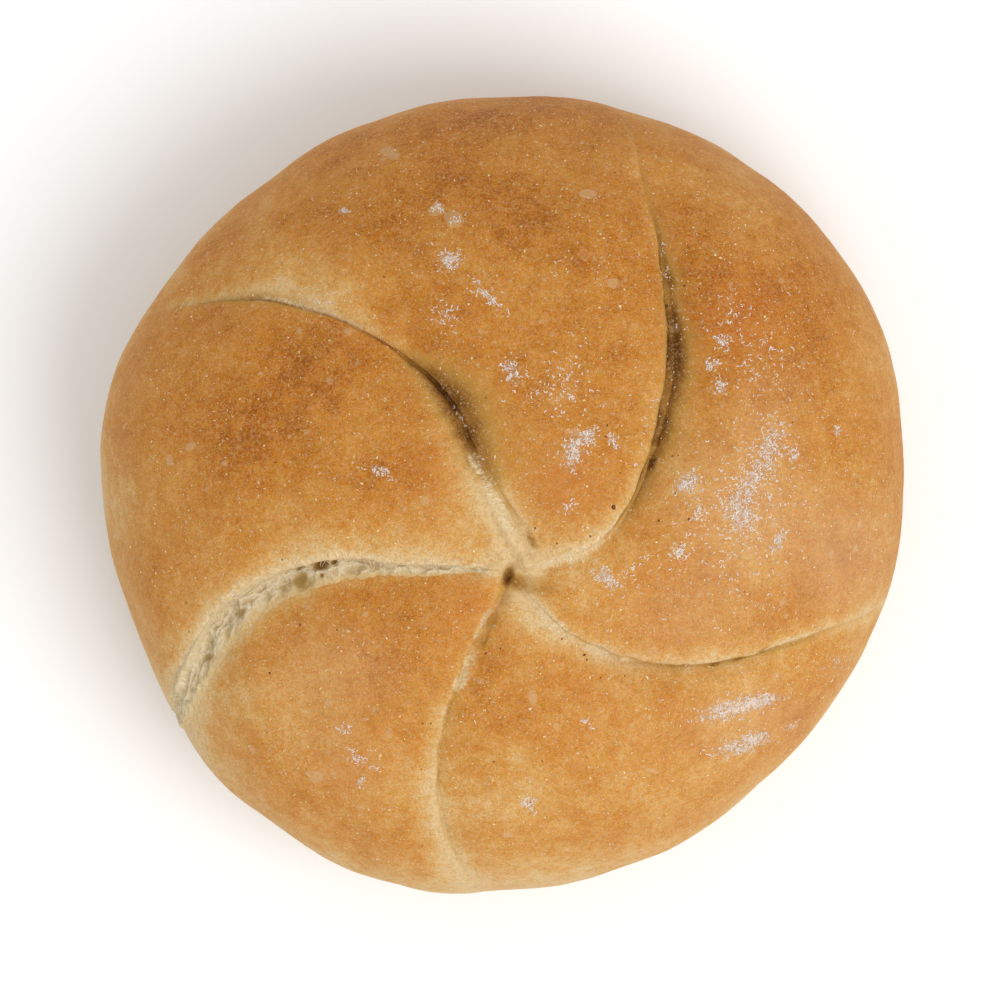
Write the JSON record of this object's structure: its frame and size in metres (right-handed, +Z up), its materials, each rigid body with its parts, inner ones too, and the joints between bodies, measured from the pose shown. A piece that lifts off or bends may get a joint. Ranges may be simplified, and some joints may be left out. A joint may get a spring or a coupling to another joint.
{
  "type": "bread roll",
  "caption": "Round crusty wheat roll with a domed top pressed into a pinwheel of curved cuts, and a flat foot to rest on.",
  "frame": {"origin": "on the table under the middle of the roll", "axes": "+Z up through the crown; the torn cut lies towards -X and the star of the cuts is off the middle towards -Y"},
  "size_m": [0.1004, 0.0998, 0.0518],
  "materials": {
    "crust": "matte"
  },
  "bodies": {
    "root": {"roll": "crust"}
  },
  "joints": []
}
